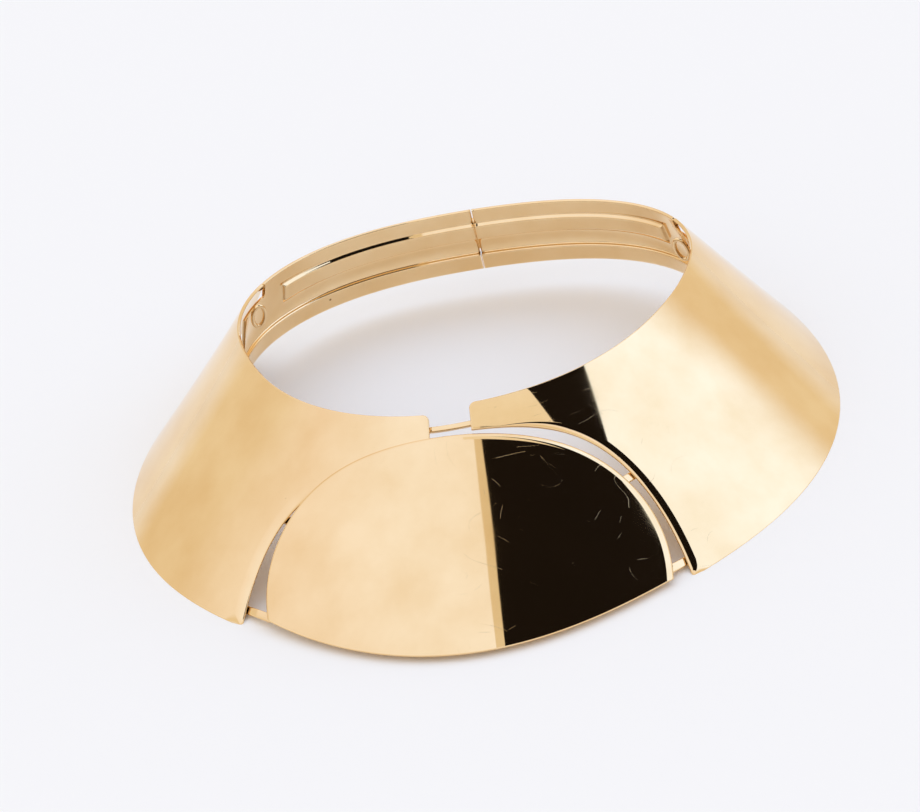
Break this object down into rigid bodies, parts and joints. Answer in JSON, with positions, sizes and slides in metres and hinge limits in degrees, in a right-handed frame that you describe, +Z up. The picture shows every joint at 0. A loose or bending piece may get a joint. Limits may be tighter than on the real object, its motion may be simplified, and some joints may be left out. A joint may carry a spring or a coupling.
{
  "type": "collar choker necklace",
  "caption": "Rigid collar choker in polished gold-plated sheet: two flared side panels meet a half-moon front plate on link bars, with a narrow rear band.",
  "frame": {"origin": "bottom centre of the bounding box, on the ground plane that the hem rests on", "axes": "+X to the right seen from the front, -Y out of the front plate, +Z up through the neck opening"},
  "size_m": [0.196, 0.182, 0.0398],
  "materials": {
    "gold_plate": "mirror-polished gold plate"
  },
  "bodies": {
    "root": {"left_panel": "gold_plate", "right_panel": "gold_plate", "front_plate": "gold_plate", "top_link": "gold_plate", "upper_link_left": "gold_plate", "upper_link_right": "gold_plate", "lower_link_left": "gold_plate", "lower_link_right": "gold_plate", "rear_band_left": "gold_plate", "rear_band_right": "gold_plate", "rear_loop_left": "gold_plate", "rear_loop_right": "gold_plate", "clasp": "gold_plate"}
  },
  "joints": []
}
